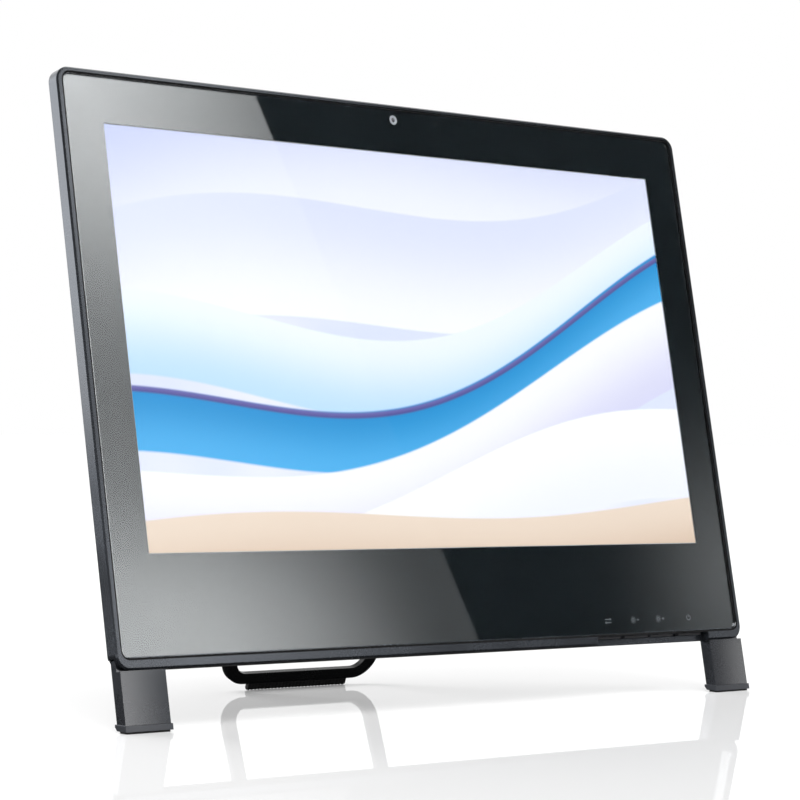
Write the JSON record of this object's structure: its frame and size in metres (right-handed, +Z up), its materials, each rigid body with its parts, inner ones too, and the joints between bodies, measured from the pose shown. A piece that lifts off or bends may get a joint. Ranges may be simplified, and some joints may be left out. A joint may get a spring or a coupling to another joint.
{
  "type": "all-in-one desktop computer",
  "caption": "All-in-one desktop computer: glass-fronted wide screen leaning back on two front feet and a folding rear loop stand, with edge buttons, ports and full insides.",
  "frame": {"origin": "on the surface it stands on, under the middle of its bounding box", "axes": "+X to the right as the user faces the screen, +Y from the user to the back, +Z up; the screen faces -Y and leans back 12.2 degrees"},
  "size_m": [0.543, 0.1838, 0.4014],
  "materials": {
    "frame_paint": "satin",
    "front_glass": "polished",
    "black_print": "gloss",
    "bright_steel": "satin",
    "display": "satin",
    "clear_plastic": "gloss",
    "screw_steel": "satin",
    "circuit_board": "matte",
    "lens_metal": "satin",
    "button_plastic": "satin",
    "brass": "satin",
    "port_plastic": "matte",
    "copper": "satin",
    "aluminium": "satin",
    "cable_film": "matte",
    "port_metal": "satin",
    "cover_plastic": "fine grain",
    "black_screw": "matte",
    "foot_metal": "satin",
    "shoe_metal": "satin",
    "rubber": "matte",
    "stand_metal": "satin",
    "pin_steel": "satin"
  },
  "bodies": {
    "panel": {"audio_jacks": "port_plastic", "backlight_tray": "bright_steel", "black_border_film": "black_print", "board_screws": "screw_steel", "board_standoffs": "brass", "button_board": "circuit_board", "chassis_plate": "bright_steel", "coin_cell": "bright_steel", "cold_plate": "copper", "cover_screws": "black_screw", "display_cable": "cable_film", "drive_cable": "cable_film", "drive_caddy": "bright_steel", "drive_screws": "screw_steel", "driver_board": "circuit_board", "fan_housing": "port_plastic", "foot_left": "foot_metal", "foot_pad_left": "rubber", "foot_pad_right": "rubber", "foot_right": "foot_metal", "foot_screws": "screw_steel", "foot_shoe_left": "shoe_metal", "foot_shoe_right": "shoe_metal", "frame_screws": "screw_steel", "front_frame": "frame_paint", "front_glass": "front_glass", "hard_drive": "aluminium", "heat_fins": "aluminium", "heat_pipe": "copper", "hinge_bracket_left": "stand_metal", "hinge_bracket_right": "stand_metal", "hinge_pin_left": "pin_steel", "hinge_pin_right": "pin_steel", "hinge_screws": "black_screw", "hinge_supports": "bright_steel", "lcd_bezel": "bright_steel", "lcd_cell": "display", "light_guide": "clear_plastic", "memory_modules": "circuit_board", "memory_sockets": "port_plastic", "microphones": "lens_metal", "motherboard": "circuit_board", "network_port": "port_metal", "power_inlet": "port_plastic", "processor": "lens_metal", "rear_cover": "cover_plastic", "speaker_left": "port_plastic", "speaker_right": "port_plastic", "usb_ports": "port_metal", "video_port": "port_metal", "webcam_board": "circuit_board", "webcam_lens": "lens_metal", "wireless_card": "circuit_board"},
    "stand": {"stand_frame": "stand_metal", "stand_rubber": "rubber"},
    "fan_rotor": {"fan_rotor": "port_plastic"},
    "mode_button": {"mode_button": "button_plastic"},
    "brightness_down_button": {"brightness_down_button": "button_plastic"},
    "brightness_up_button": {"brightness_up_button": "button_plastic"},
    "power_button": {"power_button": "button_plastic"}
  },
  "joints": [
    {"name": "stand_hinge", "type": "hinge", "parent": "panel", "child": "stand", "pos_m": [0, 0.01368, 0.21196], "axis": [1, 0, 0], "range_deg": [-30, 20]},
    {"name": "fan_spin", "type": "hinge", "parent": "panel", "child": "fan_rotor", "pos_m": [0, 0.00686, 0.30818], "axis": [0, 0.9774, -0.2113], "continuous": true},
    {"name": "mode_press", "type": "slide", "parent": "panel", "child": "mode_button", "axis": [0, 0.2113, 0.9774], "range_m": [0, 0.0005], "stiffness_N_per_m": 700, "springref_m": -0.0015},
    {"name": "brightness_down_press", "type": "slide", "parent": "panel", "child": "brightness_down_button", "axis": [0, 0.2113, 0.9774], "range_m": [0, 0.0005], "stiffness_N_per_m": 700, "springref_m": -0.0015},
    {"name": "brightness_up_press", "type": "slide", "parent": "panel", "child": "brightness_up_button", "axis": [0, 0.2113, 0.9774], "range_m": [0, 0.0005], "stiffness_N_per_m": 700, "springref_m": -0.0015},
    {"name": "power_press", "type": "slide", "parent": "panel", "child": "power_button", "axis": [0, 0.2113, 0.9774], "range_m": [0, 0.0005], "stiffness_N_per_m": 700, "springref_m": -0.0015}
  ]
}
